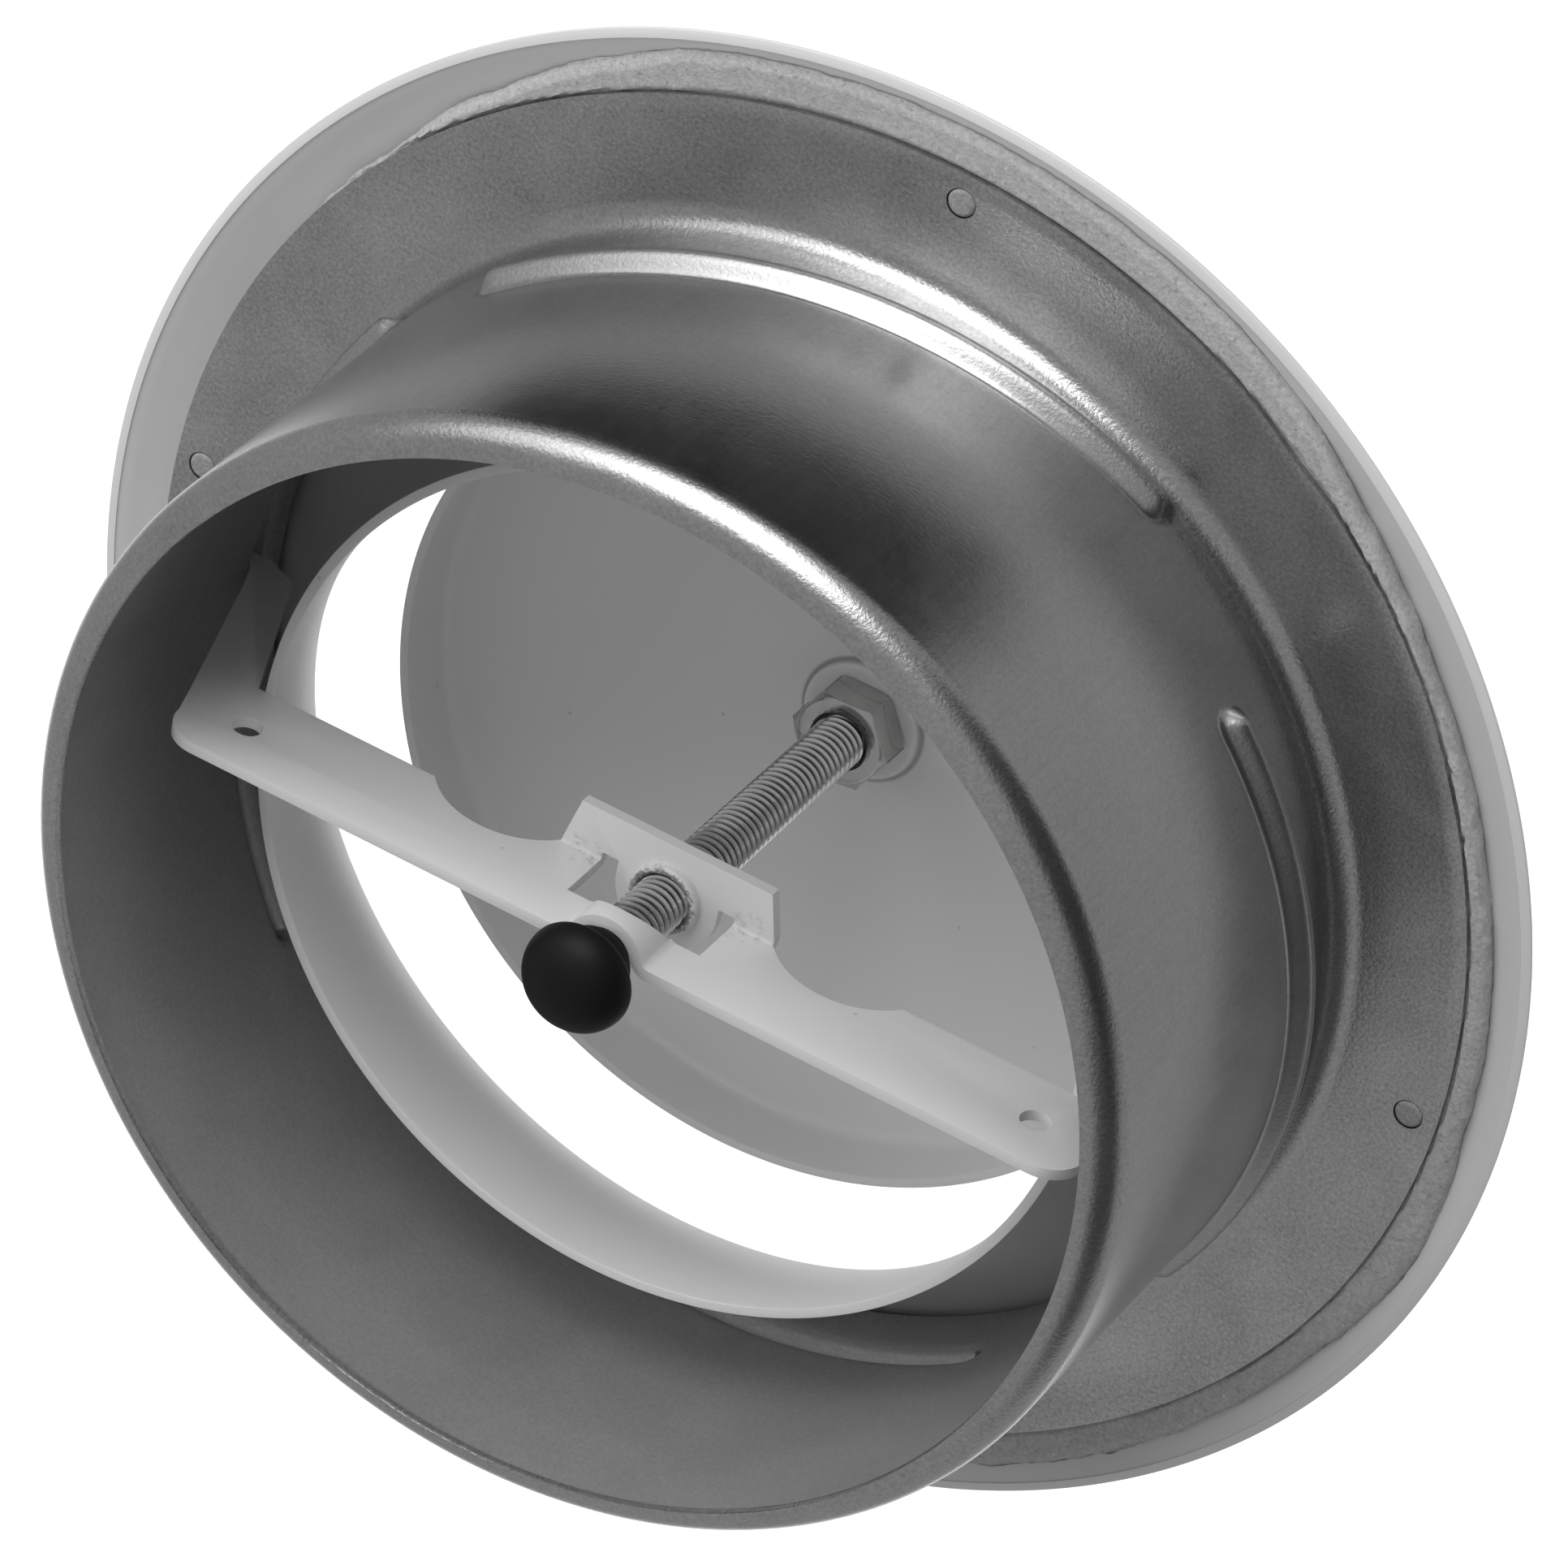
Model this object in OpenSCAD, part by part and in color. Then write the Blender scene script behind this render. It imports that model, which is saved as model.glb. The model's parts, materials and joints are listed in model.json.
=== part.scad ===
// Extract disc valve: a wall collar with a duct spigot, a bell-mouthed front ring that turns
// into the collar's helical grooves, and a disc that screws in and out on a central spindle.
// The origin is on the axis in the plane of the wall, which the back of the collar's flange
// touches. +Z points into the duct, and X runs along the bridge.

/* [Mounting collar] */
// Outside diameter of the spigot that goes into the duct
spigot_od = 124; // [110:1:160]
// Height of the spigot above the wall plane, rolled end included
spigot_len = 49; // [44:1:90]
// Thickness of the collar's sheet
collar_t = 0.8; // [0.6:0.1:1.2]
// Outer radius of the rolled end of the spigot
roll_r = 4; // [2.5:0.5:5]
// Width of the flange beyond the spigot's wall
flange_w = 14.5; // [12:0.5:18]
// Radius of the bend between spigot and flange, on the wall side
flange_bend_r = 3.2; // [2:0.2:4]
// Height up to which pressing the grooves has swelled the spigot's wall
swell_z = 17; // [16:0.5:19]
// How far the wall is swelled there
swell = 0.1; // [0:0.05:0.2]
// Distance of the fixing holes' middles from the flange's edge
hole_inset = 3.2; // [2.6:0.1:5]
// Diameter of the fixing holes
hole_d = 3.3; // [2.5:0.1:4]
// Number of fixing holes
hole_count = 4; // [3:1:8]
// Angle of the first fixing hole
hole_angle = -2.5; // [-40:0.5:40]

/* [Bayonet grooves] */
// Number of helical grooves pressed outwards in the spigot
groove_count = 4; // [2:2:4]
// Rise of a groove in one full turn
groove_pitch = 40; // [25:1:45]
// Angle that one groove covers
groove_span = 74; // [60:1:80]
// Angle from a groove's deep end, past the bridge's hook, back to the hook
groove_past_hook = 40.9; // [20:0.1:42]
// Height of the groove's middle at its shallow end
groove_start_z = 3.35; // [3.2:0.05:5]
// Width of a groove at the wall
groove_w = 5.2; // [4.6:0.1:6]
// Depth of a groove
groove_depth = 1.8; // [1.2:0.1:2.2]
// Share of a groove's width that is its flat bottom
groove_flat = 0.4; // [0.2:0.05:0.5]

/* [Front ring] */
// Gap between the spigot's wall and the air side of the neck at its rear edge
neck_gap = 14; // [12:0.5:17]
// Height of the neck's rear edge above the wall plane
neck_z = 26.4; // [25:0.2:28]
// Thickness of the ring's sheet, paint included
ring_t = 1.1; // [0.8:0.1:1.3]
// How far the ring reaches past the collar's flange
rim_overhang = 7; // [5:0.5:12]
// How far the ring's front stands in front of the wall plane
rim_depth = 7.35; // [5:0.05:10]
// Radius of the curl at the ring's rim
rim_r = 6; // [5:0.2:7]
// Distance of the rim's edge behind the wall plane
rim_z = 0; // [0:0.2:1]

/* [Foam gasket] */
// Distance from the spigot's wall to the gasket's inner edge
gasket_inset = 6; // [4:0.5:8]
// How far the gasket reaches past the flange
gasket_overhang = 2.8; // [1:0.1:3.2]
// How far the gasket sits off the middle
gasket_shift = 2.2; // [0:0.1:2.4]
// Direction in which the gasket sits off the middle
gasket_shift_angle = 20; // [0:5:90]
// Height by which the foam swells past the flange's edge
gasket_swell = 0.6; // [0:0.1:0.8]

/* [Bridge] */
// Thickness of the bridge's sheet
bridge_t = 1.3; // [1:0.1:1.5]
// Height of the blade above the neck's rear edge
blade_h = 12.9; // [12:0.1:15]
// Radius of the blade's rear corners
blade_corner_r = 4; // [2:0.5:5]
// Distance of the small holes' middles inside the neck's air side
blade_hole_inset = 0.8; // [0:0.2:4]
// Diameter of the small holes in the blade
blade_hole_d = 3.3; // [2:0.1:4]
// Distance of the waists from the axis
waist_x = 20.1; // [19:0.1:22]
// Width of a waist at the blade's front edge
waist_w = 15.2; // [12:0.2:17]
// Depth of a waist
waist_depth = 3.9; // [2:0.1:5]
// Half the width of the window behind the platform
window_half = 7.8; // [7:0.1:9]
// Height of the window's sides
window_h = 6.9; // [5:0.1:7.5]
// Height of the window's crown
window_crown_h = 10.6; // [9.5:0.1:11]
// Half the width of the platform at its fold
platform_half = 12.5; // [11:0.1:14]
// Half the width of the platform at its free edge
platform_end_half = 11.2; // [10:0.1:12]
// Reach of the platform from the axis
platform_y = 6.3; // [6:0.1:8]
// Inner radius of the folds
fold_r = 0.4; // [0.3:0.1:0.8]
// Radius of the platform's round tongue
tongue_r = 5.9; // [5.4:0.1:6.4]
// Depth of the relief cuts beside the tongue
relief_y = 1.5; // [1:0.1:2]
// Outside radius of the drawn boss round the thread
boss_r = 4; // [3.6:0.1:4.4]
// Height of the drawn boss
boss_h = 1.1; // [0.6:0.1:2]
// Inner radius of the arch that guides the spindle
arch_r = 3.15; // [3.1:0.05:3.5]
// Inner radius of the bends at the arch's feet
arch_foot_r = 1; // [0.6:0.1:1.4]

/* [Spindle, nut and cap] */
// Diameter of the spindle over its thread
spindle_d = 5.9; // [5:0.1:6]
// Height of the spindle's rear end above the wall plane
spindle_z = 45; // [44.5:0.5:60]
// Clearance round the spindle in the boss, the nut, the disc and the cap
spindle_clearance = 0.05; // [0.02:0.01:0.08]
// Width of the nut across its flats
nut_af = 10; // [9:0.5:11]
// Height of the nut
nut_h = 4.7; // [3.2:0.1:5.2]
// Diameter of the cap's barrel
cap_barrel_d = 7.8; // [7.4:0.1:8.4]
// Length of the cap's barrel below its head
cap_barrel_h = 3.2; // [2:0.1:5]
// Diameter of the cap's head
cap_d = 12; // [10:0.5:14]
// Height of the cap's head
cap_h = 5.2; // [3.5:0.1:6]
// Distance from the arch up to the cap's barrel
cap_gap = 1; // [0.5:0.1:3]

/* [Valve disc] */
// How far the disc's edge reaches past the neck's air side
disc_lap = 0.3; // [-1:0.1:0.5]
// Height of the disc's floor beside the pad, measured from the wall plane
disc_floor_z = -15.5; // [-18:0.5:-12]
// Rise of the floor from the pad to the wall
disc_rise = 7.2; // [3:0.2:8]
// Height of the disc's upright wall
disc_wall_h = 7.6; // [5:0.2:9]
// Thickness of the disc's sheet
disc_t = 1; // [0.8:0.1:1.2]
// Inner radius of the bend between floor and wall
disc_bend_r = 1.5; // [1:0.1:2.5]
// Diameter of the raised pad under the nut
pad_d = 13.5; // [12.5:0.5:16]
// Height of the raised pad
pad_h = 1; // [0.6:0.1:1.4]

/* [Hidden] */
$fn = 96;

// Overlap that keeps joined and cut shapes from ending on one face
eps = 0.05;
// Gap between pieces that turn or slide past each other
run_gap = 0.3;

spigot_r = spigot_od / 2;
spigot_in_r = spigot_r - collar_t;
flange_r = spigot_r + flange_w;
hole_circle_r = flange_r - hole_inset;
roll_z = spigot_len - roll_r;
bend_r_mid = spigot_r + swell + flange_bend_r;
swell_fade = 2;

groove_step_z = groove_pitch / 360;
groove_hook_z = groove_start_z + (groove_span - groove_past_hook) * groove_step_z;
groove_half = groove_w / 2;
groove_arc = groove_span - groove_w / spigot_r * 180 / PI;
groove_tilt = atan(groove_step_z * groove_span / 2 / (spigot_r * sin(groove_span / 2)));
groove_steps = 8;
groove_sink = 0.1;
groove_end_inset = 0.08;
groove_root_r = spigot_in_r - 2;

// The bell mouth is the one arc that leaves the neck along the axis and runs into the rim's curl
neck_r = spigot_in_r - neck_gap;
ring_r = flange_r + rim_overhang;
curl_r = ring_r - rim_r;
curl_z = rim_r - rim_depth;
bell_run = curl_r - neck_r;
bell_fall = neck_z - curl_z;
bell_r = (bell_run ^ 2 + bell_fall ^ 2 - rim_r ^ 2) / (2 * (bell_run - rim_r));
bell_centre_r = neck_r + bell_r;
bell_end_angle = atan2(bell_fall, bell_r - bell_run);

blade_z = neck_z + blade_h;
blade_half_t = bridge_t / 2;
platform_z = neck_z - bridge_t;
window_rise = window_crown_h - window_h;
window_arc_half = arch_r + bridge_t;
window_arc_r = (window_arc_half ^ 2 + window_rise ^ 2) / (2 * window_rise);
window_arc_z = neck_z + window_crown_h - window_arc_r;
waist_r = ((waist_w / 2) ^ 2 + waist_depth ^ 2) / (2 * waist_depth);
arch_out_r = arch_r + bridge_t;
arch_foot_y = blade_half_t + arch_foot_r;
arch_foot_x = sqrt((arch_out_r + arch_foot_r) ^ 2 - arch_foot_y ^ 2);
arch_foot_angle = 180 + atan2(arch_foot_y, arch_foot_x);
arch_lap = 0.5;

blade_overhang = 6;
leg_gap = 0.8;
leg_w = 4.6;
leg_slant = 2;
leg_flare = 1.2;
leg_knee_h = 6.4;
hook_tip_r = spigot_in_r + groove_depth - 0.4;
hook_leg_r = spigot_in_r - run_gap;
hook_half = 1;
hook_bevel = 0.4;

spindle_r = spindle_d / 2;
thread_bore_r = spindle_r + spindle_clearance;
cap_z = blade_z + cap_gap;
cap_head_z = cap_z + cap_barrel_h;
cap_rim_h = 1.2;

disc_r = neck_r + disc_lap;
pad_r = pad_d / 2;
pad_z = disc_floor_z + pad_h;
pad_round = 0.4;
disc_wall_r = disc_r - disc_t;
disc_slope = atan2(disc_rise, disc_wall_r - pad_r);
disc_edge_z = disc_floor_z + disc_rise + disc_wall_h;

// A sector of a band between two radii, in the plane of a profile
module arc_band(centre, r_in, r_out, from, to) {
    reach = 3 * r_out;
    middle = (from + to) / 2;
    translate(centre)
        intersection() {
            difference() {
                circle(r_out);
                circle(r_in);
            }
            polygon([[0, 0],
                     reach * [cos(from), sin(from)],
                     reach * [cos(middle), sin(middle)],
                     reach * [cos(to), sin(to)]]);
        }
}

// Points along an arc, for the outline of a profile
function arc(centre, r, from, to, n = 8) =
    [for (i = [0 : n]) let (a = from + (to - from) * i / n) centre + r * [cos(a), sin(a)]];

// A rectangle given by its low and high corners
module box2(low, high) {
    translate(low) square([high[0] - low[0], high[1] - low[1]]);
}

// Turns a profile drawn in X and Z into a plate of the bridge, standing in the plane y = 0
module upright_plate(t) {
    rotate([90, 0, 0]) translate([0, 0, -t / 2]) linear_extrude(t) children();
}

// Cross-section of a pressed groove: 0 at its edges, 1 over its flat bottom
function ease(t) = t * t * (3 - 2 * t);
function groove_form(s) = ease(min(1, (1 - abs(s)) / (1 - groove_flat)));
function groove_curve(wall_r, from) =
    [for (i = [from : groove_steps])
        let (s = 2 * i / groove_steps - 1)
        [wall_r - groove_sink + (groove_depth + groove_sink) * groove_form(s), s * groove_half]];

// One round end of a groove: a button about the radius that it ends on, a little smaller than
// the groove, so that its other half stays inside the groove
module groove_end(wall_r) {
    rotate([0, 90, 0])
        rotate_extrude()
            polygon(concat([[groove_half - groove_end_inset, groove_root_r], [0, groove_root_r]],
                           [for (p = groove_curve(wall_r, groove_steps / 2))
                               [p[1] * (1 - groove_end_inset / groove_half),
                                p[0] - groove_end_inset]]));
}

// A bead with round ends that climbs a wall of the given radius. Its middle line is an arc in a
// tilted plane, which keeps within 0.2 mm of a true helix over the groove's length
module groove_bead(wall_r) {
    rotate(groove_span / 2)
        translate([0, 0, groove_start_z + groove_span / 2 * groove_step_z])
            rotate([groove_tilt, 0, 0]) {
                rotate(-groove_arc / 2)
                    rotate_extrude(angle = groove_arc)
                        polygon(concat([[groove_root_r, groove_half], [groove_root_r, -groove_half]],
                                       groove_curve(wall_r, 0)));
                for (side = [-1, 1])
                    rotate(side * groove_arc / 2)
                        groove_end(wall_r);
            }
}

module groove_set(wall_r) {
    for (i = [0 : groove_count - 1])
        rotate(i * 360 / groove_count + groove_past_hook - groove_span)
            groove_bead(wall_r);
}

// The collar's wall side filled to the axis, with the grooves standing out of it as beads
module collar_outside() {
    rotate_extrude()
        polygon(concat([[0, -collar_t], [flange_r, -collar_t], [flange_r, 0]],
                       arc([bend_r_mid, flange_bend_r], flange_bend_r, 270, 180),
                       [[spigot_r + swell, swell_z], [spigot_r, swell_z + swell_fade]],
                       arc([spigot_r - roll_r, roll_z], roll_r, 0, 90),
                       [[0, spigot_len]]));
    groove_set(spigot_r + swell);
}

// The room inside the collar, with the grooves as they are seen from the axis
module collar_inside() {
    roll_in_z = spigot_len + 1;
    rotate_extrude()
        polygon(concat([[0, -collar_t - 1], [bend_r_mid, -collar_t - 1]],
                       arc([bend_r_mid, flange_bend_r], flange_bend_r + collar_t, 270, 180),
                       [[spigot_in_r + swell, swell_z], [spigot_in_r, swell_z + swell_fade]],
                       arc([spigot_r - roll_r, roll_z], roll_r - collar_t, 0, 90),
                       [[spigot_r - roll_r, roll_in_z], [0, roll_in_z]]));
    groove_set(spigot_in_r + swell);
}

module mounting_collar() {
    color("silver")
        difference() {
            collar_outside();
            collar_inside();
            for (i = [0 : hole_count - 1])
                rotate(hole_angle + i * 360 / hole_count)
                    translate([hole_circle_r, 0, -2 * collar_t])
                        cylinder(h = 3 * collar_t, d = hole_d);
        }
}

// Outline of the ring's sheet at a distance behind its air side, from the neck to the rim
function ring_face(behind) =
    let (turn = 180 + bell_end_angle)
    concat(arc([bell_centre_r, neck_z], bell_r - behind, 180, turn, 20),
           arc([curl_r, curl_z], rim_r - behind, turn, 360, 16),
           [[ring_r - behind, rim_z]]);

module front_ring() {
    back = ring_face(ring_t);
    color("whitesmoke")
        rotate_extrude()
            polygon(concat(ring_face(0), [for (i = [len(back) - 1 : -1 : 0]) back[i]]));
}

// Room for the foam between the ring's sheet and the flange
module tray_room() {
    room_z = -collar_t;
    swell_z = room_z + gasket_swell;
    bed_r = bell_r - ring_t - run_gap;
    bed_from = 180 + asin((neck_z - room_z) / bed_r);
    bed_to = 180 + bell_end_angle;
    curl_bed_r = rim_r - ring_t - run_gap;
    polygon(concat(arc([bell_centre_r, neck_z], bed_r, bed_from, bed_to, 12),
                   arc([curl_r, curl_z], curl_bed_r, bed_to, 360, 12),
                   [[curl_r + curl_bed_r, swell_z],
                    [flange_r + run_gap, swell_z],
                    [flange_r + run_gap, room_z]]));
}

module foam_gasket() {
    color("lightgray")
        intersection() {
            rotate_extrude() tray_room();
            rotate(gasket_shift_angle)
                translate([gasket_shift, 0, curl_z - rim_r])
                    difference() {
                        cylinder(h = 4 * rim_r, r = flange_r + gasket_overhang);
                        translate([0, 0, -1])
                            cylinder(h = 4 * rim_r + 2, r = spigot_r + gasket_inset);
                    }
        }
}

// Outline of one half of the blade with its leg and hook, from the arch's foot outwards
module blade_half() {
    corner_x = neck_r + blade_overhang;
    corner_y = blade_z - blade_corner_r;
    leg_in_x = neck_r + ring_t + leg_gap;
    root_x = leg_in_x - leg_w;
    tip = [hook_tip_r, groove_hook_z];
    back = [hook_leg_r, groove_hook_z];
    difference() {
        union() {
            box2([arch_foot_x, neck_z], [corner_x - blade_corner_r, blade_z]);
            translate([corner_x - blade_corner_r, corner_y]) circle(blade_corner_r);
            polygon([[root_x, neck_z],
                     [leg_in_x, neck_z],
                     back + [-leg_w - leg_slant, leg_knee_h],
                     back + [-leg_w, hook_half],
                     back + [-hook_bevel, -hook_half],
                     tip + [-hook_bevel, -hook_half],
                     tip + [0, hook_bevel - hook_half],
                     tip + [0, hook_half - hook_bevel],
                     tip + [-hook_bevel, hook_half],
                     back + [hook_bevel, hook_half + hook_bevel],
                     back + [0, hook_half + 3 * hook_bevel],
                     [corner_x + leg_flare, neck_z + leg_w],
                     [corner_x, corner_y],
                     [root_x, corner_y]]);
        }
        translate([waist_x, neck_z + waist_depth - waist_r]) circle(waist_r);
        translate([neck_r - blade_hole_inset, neck_z + blade_h / 2]) circle(d = blade_hole_d);
        box2([0, neck_z - eps], [window_half, neck_z + window_h]);
        translate([0, window_arc_z]) circle(window_arc_r);
    }
}

// One face of the sheet where the blade is bent round the spindle, at the given radii
function arch_face(r, foot_r) =
    let (foot = [arch_foot_x, arch_foot_y],
         right = concat([[arch_foot_x + arch_lap, arch_foot_y - foot_r]],
                        arc(foot, foot_r, 270, arch_foot_angle, 6)),
         crown = arc([0, 0], r, arch_foot_angle - 180, 360 - arch_foot_angle, 16))
    concat(right, crown, [for (i = [len(right) - 1 : -1 : 0]) [-right[i][0], right[i][1]]]);

module arch_section() {
    near = arch_face(arch_r, arch_foot_r + bridge_t);
    polygon(concat(arch_face(arch_out_r, arch_foot_r),
                   [for (i = [len(near) - 1 : -1 : 0]) near[i]]));
}

module arch() {
    difference() {
        translate([0, 0, neck_z + window_h])
            linear_extrude(blade_h - window_h) arch_section();
        translate([0, arch_out_r + 1, window_arc_z])
            rotate([90, 0, 0]) cylinder(h = 2 * arch_out_r + 2, r = window_arc_r);
    }
}

// The fold that turns the blade's front edge into the platform, seen along X
module platform_fold() {
    fold_y = blade_half_t + fold_r;
    box2([-blade_half_t, neck_z + fold_r], [blade_half_t, neck_z + window_h]);
    arc_band([fold_y, neck_z + fold_r], fold_r, fold_r + bridge_t, 180, 270);
    box2([fold_y, platform_z], [platform_y, neck_z]);
}

module platform() {
    intersection() {
        rotate([90, 0, 90])
            linear_extrude(2 * platform_half, center = true) platform_fold();
        translate([0, 0, platform_z - 1])
            linear_extrude(blade_h)
                difference() {
                    polygon([[-platform_half, -1], [platform_half, -1], [platform_half, 1],
                             [platform_end_half, platform_y], [-platform_end_half, platform_y],
                             [-platform_half, 1]]);
                    box2([-window_half, -1], [window_half, relief_y]);
                }
    }
    translate([0, 0, platform_z])
        linear_extrude(bridge_t) {
            intersection() {
                circle(tongue_r);
                box2([-tongue_r, -tongue_r], [tongue_r, 0]);
            }
            box2([-tongue_r, 0], [tongue_r, relief_y]);
        }
}

module boss() {
    round_r = (boss_r - thread_bore_r) / 2;
    translate([0, 0, neck_z])
        rotate_extrude() {
            box2([thread_bore_r, -eps], [boss_r, boss_h - round_r]);
            translate([thread_bore_r + round_r, boss_h - round_r]) circle(round_r);
        }
}

module bridge() {
    color("whitesmoke") {
        difference() {
            union() {
                for (side = [0, 1])
                    mirror([side, 0, 0]) upright_plate(bridge_t) blade_half();
                arch();
                platform();
                boss();
            }
            translate([0, 0, platform_z - 1])
                cylinder(h = bridge_t + boss_h + 2, r = thread_bore_r);
        }
    }
}

module spindle() {
    end_bevel = 0.6;
    color("silver")
        translate([0, 0, pad_z - disc_t])
            rotate_extrude()
                polygon([[0, 0],
                         [spindle_r, 0],
                         [spindle_r, spindle_z - pad_z + disc_t - end_bevel],
                         [spindle_r - end_bevel, spindle_z - pad_z + disc_t],
                         [0, spindle_z - pad_z + disc_t]]);
}

module end_cap() {
    dome_h = cap_h - cap_rim_h;
    head_r = cap_d / 2;
    barrel_r = cap_barrel_d / 2;
    dome_r = (head_r ^ 2 + dome_h ^ 2) / (2 * dome_h);
    bore_r = spindle_r + spindle_clearance;
    color("black")
        rotate_extrude()
            difference() {
                union() {
                    box2([0, cap_z], [barrel_r, cap_head_z + eps]);
                    box2([0, cap_head_z], [head_r - cap_rim_h / 2, cap_head_z + cap_rim_h]);
                    translate([head_r - cap_rim_h / 2, cap_head_z + cap_rim_h / 2])
                        circle(cap_rim_h / 2);
                    intersection() {
                        translate([0, cap_head_z + cap_h - dome_r]) circle(dome_r);
                        box2([0, cap_head_z + cap_rim_h / 2], [head_r, cap_head_z + cap_h]);
                    }
                }
                box2([-1, cap_z - 1], [bore_r, spindle_z + spindle_clearance]);
            }
}

// The disc in section: the sheet runs from the pad down to the floor, up its slope and the wall
module disc_profile() {
    bend_x = disc_wall_r - disc_bend_r;
    bend_z = disc_floor_z + (bend_x - pad_r) * tan(disc_slope) + disc_bend_r / cos(disc_slope);
    bend = [bend_x, bend_z];
    edge = [disc_r - disc_t / 2, disc_edge_z - disc_t / 2];
    polygon(concat([[thread_bore_r, pad_z - disc_t],
                    [pad_r - disc_t, pad_z - disc_t],
                    [pad_r - disc_t, disc_floor_z - disc_t],
                    [pad_r + disc_t * tan(disc_slope / 2), disc_floor_z - disc_t]],
                   arc(bend, disc_bend_r + disc_t, 270 + disc_slope, 360),
                   arc(edge, disc_t / 2, 0, 180),
                   arc(bend, disc_bend_r, 360, 270 + disc_slope),
                   [[pad_r, disc_floor_z]],
                   arc([pad_r - pad_round, pad_z - pad_round], pad_round, 0, 90, 4),
                   [[thread_bore_r, pad_z]]));
}

module valve_disc() {
    color("whitesmoke") rotate_extrude() disc_profile();
}

module disc_nut() {
    corner_r = nut_af / 2 / cos(30);
    bevel = (corner_r - nut_af / 2) * tan(30);
    color("silver")
        translate([0, 0, pad_z])
            difference() {
                intersection() {
                    cylinder(h = nut_h, r = corner_r, $fn = 6);
                    rotate_extrude()
                        polygon([[0, 0], [nut_af / 2, 0], [corner_r, bevel], [corner_r, nut_h - bevel],
                                 [nut_af / 2, nut_h], [0, nut_h]]);
                }
                translate([0, 0, -1]) cylinder(h = nut_h + 2, r = thread_bore_r);
            }
}

mounting_collar();
front_ring();
foam_gasket();
bridge();
spindle();
end_cap();
valve_disc();
disc_nut();
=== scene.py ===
"""Looks of the extract disc valve: steel, paint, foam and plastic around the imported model."""

import json
from math import atan2, cos, degrees, hypot, pi, radians, sin, tan, tau

import bmesh
import bpy
from bpy.props import FloatProperty, FloatVectorProperty, IntProperty, PointerProperty
from bpy.types import Operator, Panel, PropertyGroup
from mathutils import Euler, Matrix, Vector, noise


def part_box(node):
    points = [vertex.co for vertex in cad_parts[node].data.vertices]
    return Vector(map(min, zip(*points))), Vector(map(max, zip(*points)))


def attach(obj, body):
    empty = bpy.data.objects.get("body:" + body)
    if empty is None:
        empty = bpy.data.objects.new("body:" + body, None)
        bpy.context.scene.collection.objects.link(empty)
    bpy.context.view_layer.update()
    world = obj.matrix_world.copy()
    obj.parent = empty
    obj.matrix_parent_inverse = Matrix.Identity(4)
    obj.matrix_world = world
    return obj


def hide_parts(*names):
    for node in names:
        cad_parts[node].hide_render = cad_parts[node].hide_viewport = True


bl_info = {
    "name": "Extract disc valve",
    "version": (1, 0, 0),
    "blender": (4, 5, 0),
    "location": "View3D > Sidebar > Valve",
    "description": "Dresses the packed valve with its sheet metal, paint, foam, thread and stage",
    "category": "Object",
}

MM = 0.001
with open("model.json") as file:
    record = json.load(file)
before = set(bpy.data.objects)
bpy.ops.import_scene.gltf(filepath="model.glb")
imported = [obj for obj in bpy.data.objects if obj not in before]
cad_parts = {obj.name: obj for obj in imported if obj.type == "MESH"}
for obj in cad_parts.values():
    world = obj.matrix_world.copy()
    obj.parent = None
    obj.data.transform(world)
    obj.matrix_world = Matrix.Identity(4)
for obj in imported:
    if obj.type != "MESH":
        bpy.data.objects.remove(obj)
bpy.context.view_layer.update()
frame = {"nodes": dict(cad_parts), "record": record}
mounts = {mount["name"]: mount for mount in frame["record"]["mounts"]}

# Sizes read from the frame, in metres
FLANGE_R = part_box("mounting_collar")[1].x
COLLAR_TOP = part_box("mounting_collar")[1].z
COLLAR_T = -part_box("mounting_collar")[0].z
SPIGOT_R = mounts["spigot"]["dims"]["r_mm"] * MM
HOLE_R = mounts["flange_holes"]["dims"]["hole_r_mm"] * MM
HOLE_PCD_R = mounts["flange_holes"]["dims"]["pcd_mm"] / 2 * MM
HOLE_COUNT = mounts["flange_holes"]["dims"]["count"]
RING_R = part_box("front_ring")[1].x
NECK_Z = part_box("front_ring")[1].z
BLADE_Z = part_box("bridge")[1].z
DISC_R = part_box("valve_disc")[1].x
DISC_EDGE_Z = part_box("valve_disc")[1].z
DISC_FRONT_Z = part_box("valve_disc")[0].z
SPINDLE_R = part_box("spindle")[1].x
SPINDLE_Z = (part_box("spindle")[0].z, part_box("spindle")[1].z)
CAP_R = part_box("end_cap")[1].x
CAP_Z = (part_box("end_cap")[0].z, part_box("end_cap")[1].z)
NUT_Z = (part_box("disc_nut")[0].z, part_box("disc_nut")[1].z)
NUT_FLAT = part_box("disc_nut")[1].y

# Height of the highest row of the collar's wall that its grooves can reach
PRESSED_TOP = 16 * MM


def mm(name, description, default, low=0.0, high=200.0):
    """A size that a user can change, in millimetres."""
    return FloatProperty(name=name, description=description, default=default, min=low, max=high)


def colour(name, description, default):
    """A colour that a user can change."""
    return FloatVectorProperty(name=name, description=description, default=default,
                               subtype="COLOR", size=3, min=0.0, max=1.0)


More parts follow.
